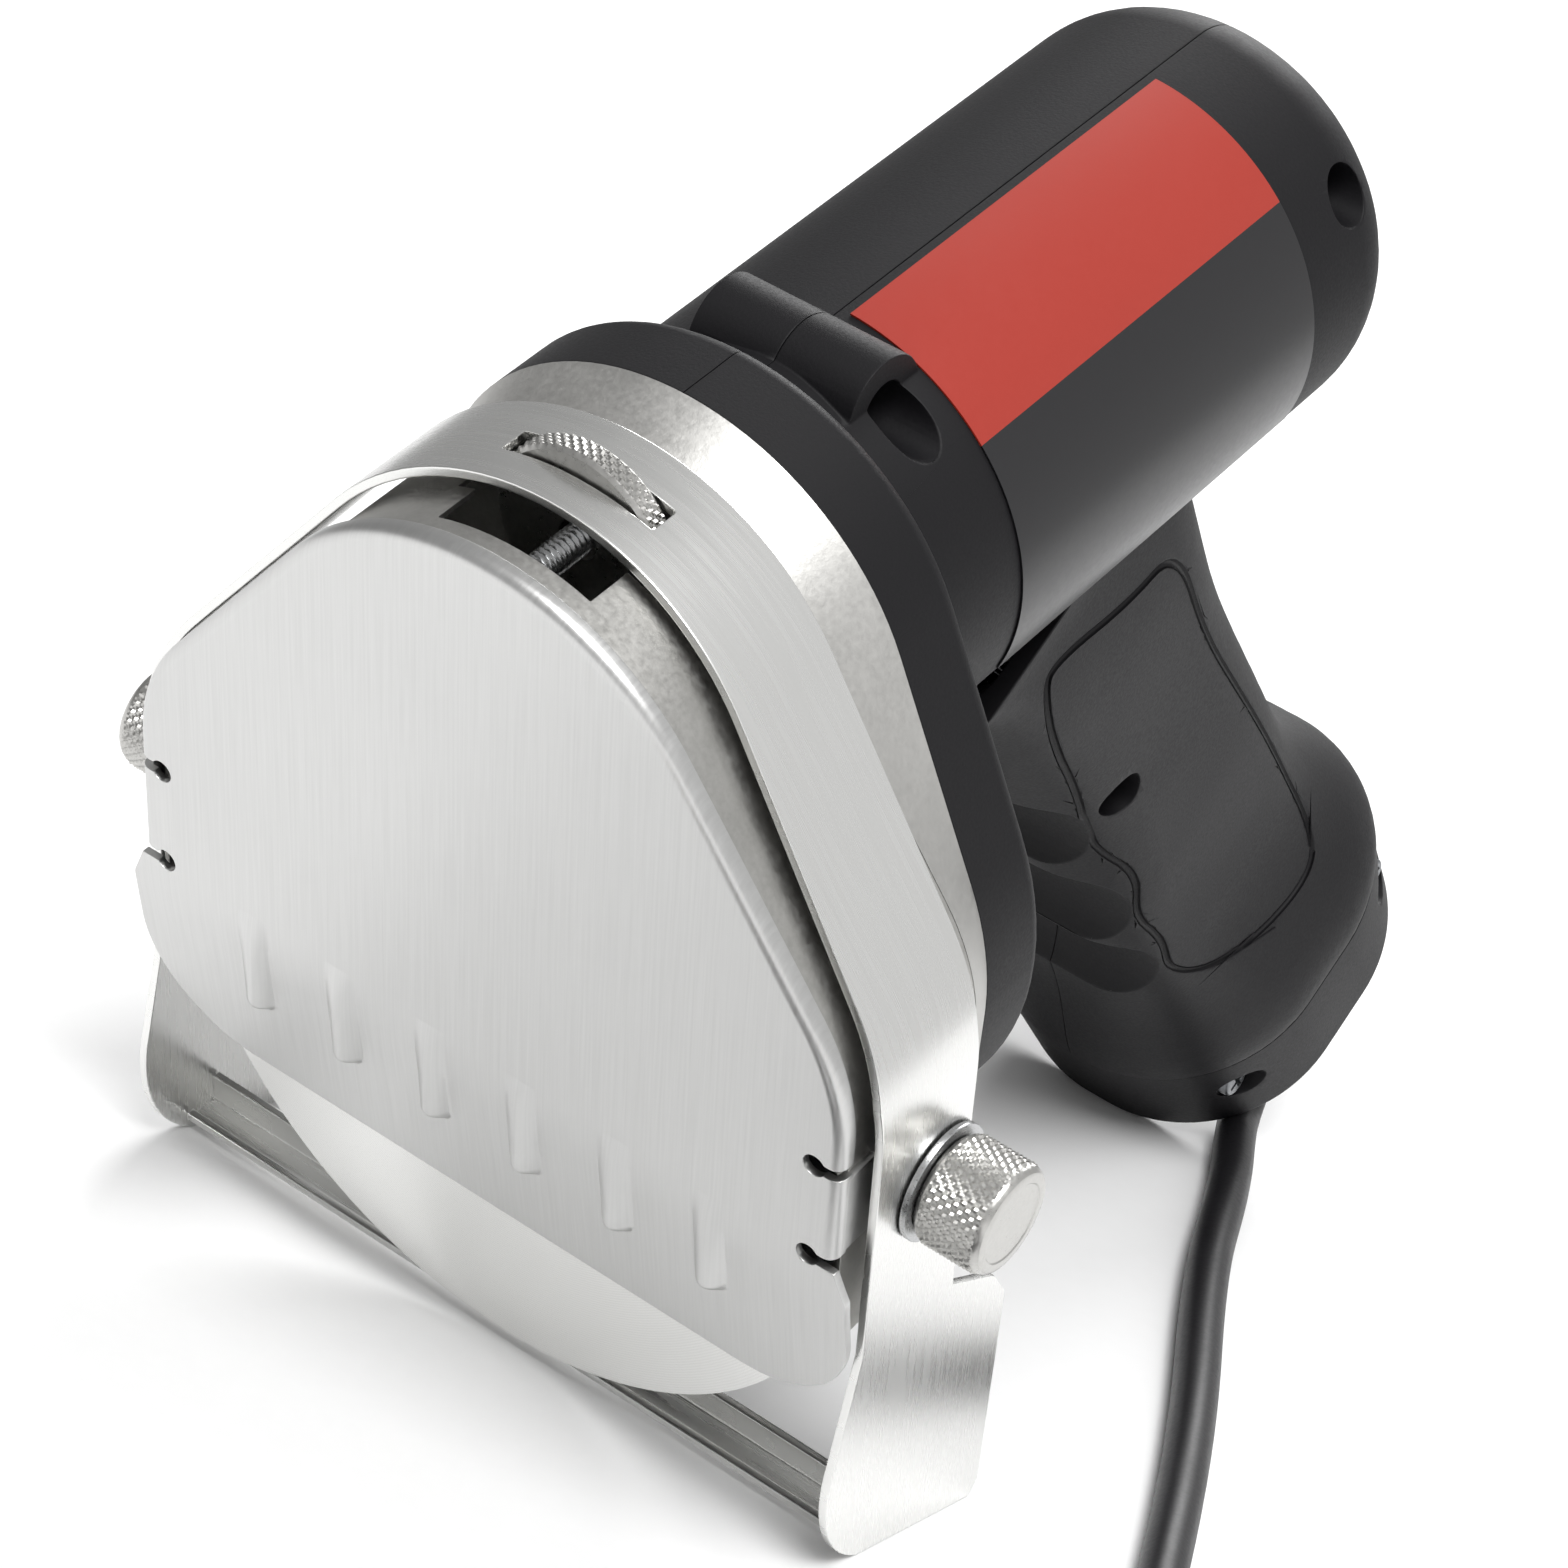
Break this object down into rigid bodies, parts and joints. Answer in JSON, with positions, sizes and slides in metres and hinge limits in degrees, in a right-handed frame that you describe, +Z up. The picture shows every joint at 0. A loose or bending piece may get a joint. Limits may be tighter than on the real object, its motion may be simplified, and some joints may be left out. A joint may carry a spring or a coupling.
{
  "type": "electric kebab slicer",
  "caption": "Hand-held electric kebab slicer: round blade behind a sheet guard, tilting thickness gauge, pistol-grip motor handle and mains cord.",
  "frame": {"origin": "on the table surface, under the middle of the tool's box without its cord", "axes": "+Z up; +Y from the guard and blade to the motor and the foot of the handle; +X to the right of the person holding it, the side of the rating plate"},
  "size_m": [0.2027, 0.3681, 0.1743],
  "materials": {
    "black_plastic": "matte moulded",
    "guard_steel": "fine brushed",
    "gauge_steel": "polished",
    "housing_steel": "satin",
    "blade_steel": "ground",
    "knurled_steel": "knurled",
    "cast_alloy": "matt cast",
    "machined_steel": "machined",
    "screw_steel": "zinc plated",
    "lamination_steel": "varnished",
    "copper_winding": "enamelled",
    "inner_plastic": "moulded",
    "brush_carbon": "sintered",
    "plate_red": "printed film",
    "plate_black": "printed film",
    "cord_sheath": "smooth",
    "plug_plastic": "moulded",
    "pin_brass": "nickel plated"
  },
  "bodies": {
    "handle": {"idler_pin": "machined_steel", "blade_housing": "housing_steel", "gear_case": "cast_alloy", "bearing_plate": "cast_alloy", "front_spindle_bearing": "machined_steel", "rear_spindle_bearing": "machined_steel", "front_motor_bearing": "machined_steel", "rear_motor_bearing": "machined_steel", "case_screws": "screw_steel", "stator": "lamination_steel", "field_windings": "copper_winding", "brushes": "brush_carbon", "brush_holders": "pin_brass", "motor_bracket": "cast_alloy", "handle_right": "black_plastic", "handle_left": "black_plastic", "handle_screws": "screw_steel", "base_cap": "black_plastic", "cap_screws": "screw_steel", "cord_gland": "black_plastic", "switch_body": "inner_plastic", "terminal_block": "inner_plastic", "pivot_studs": "machined_steel", "threaded_rod": "machined_steel", "label_upper": "plate_red", "label_lower": "plate_black", "cord": "cord_sheath", "cord_coil": "cord_sheath", "cord_tail": "cord_sheath", "plug_body": "plug_plastic", "plug_pins": "pin_brass"},
    "blade": {"blade": "blade_steel", "blade_nut": "screw_steel", "blade_spindle": "machined_steel", "blade_gear": "machined_steel"},
    "idler": {"idler_gear": "machined_steel"},
    "rotor": {"rotor_shaft": "machined_steel", "armature": "lamination_steel", "commutator": "copper_winding", "cooling_fan": "inner_plastic", "motor_pinion": "machined_steel"},
    "guard": {"front_guard": "guard_steel"},
    "gauge": {"gauge_frame": "gauge_steel"},
    "wheel": {"thumb_wheel": "knurled_steel"},
    "knob_right": {"knob_right": "knurled_steel", "washer_right": "machined_steel"},
    "knob_left": {"knob_left": "knurled_steel", "washer_left": "machined_steel"},
    "trigger": {"trigger": "black_plastic", "trigger_spring": "screw_steel"}
  },
  "joints": [
    {"name": "blade_spin", "type": "hinge", "parent": "handle", "child": "blade", "pos_m": [0, -0.095, 0.04395], "axis": [0, 0.887, 0.4617], "continuous": true},
    {"name": "idler_spin", "type": "hinge", "parent": "handle", "child": "idler", "pos_m": [0, -0.10931, 0.07145], "axis": [0, 0.887, 0.4617], "continuous": true},
    {"name": "rotor_spin", "type": "hinge", "parent": "handle", "child": "rotor", "pos_m": [0, -0.11624, 0.08475], "axis": [0, 0.887, 0.4617], "continuous": true},
    {"name": "gauge_tilt", "type": "hinge", "parent": "handle", "child": "gauge", "pos_m": [0, -0.08381, 0.0571], "axis": [1, 0, 0], "range_deg": [-1, 3.2]},
    {"name": "wheel_turn", "type": "hinge", "parent": "gauge", "child": "wheel", "pos_m": [0, -0.11113, 0.11447], "axis": [0, 0.887, 0.4617], "range_deg": [-540, 1800]},
    {"name": "knob_right_turn", "type": "hinge", "parent": "handle", "child": "knob_right", "pos_m": [0.06, -0.08381, 0.0571], "axis": [1, 0, 0], "range_deg": [0, 360]},
    {"name": "knob_left_turn", "type": "hinge", "parent": "handle", "child": "knob_left", "pos_m": [-0.06, -0.08381, 0.0571], "axis": [-1, 0, 0], "range_deg": [0, 360]},
    {"name": "guard_slide", "type": "slide", "parent": "handle", "child": "guard", "axis": [0, -0.887, -0.4617], "range_m": [0, 0.03]},
    {"name": "trigger_pull", "type": "slide", "parent": "handle", "child": "trigger", "axis": [0, 0.5664, 0.8241], "range_m": [0, 0.005], "stiffness_N_per_m": 600, "springref_m": -0.003}
  ],
  "couplings": [
    {"joint": "idler_spin", "follows": "blade_spin", "ratio": -2.4444},
    {"joint": "rotor_spin", "follows": "blade_spin", "ratio": 3.6667},
    {"joint": "gauge_tilt", "follows": "wheel_turn", "ratio": 0.0017545}
  ]
}
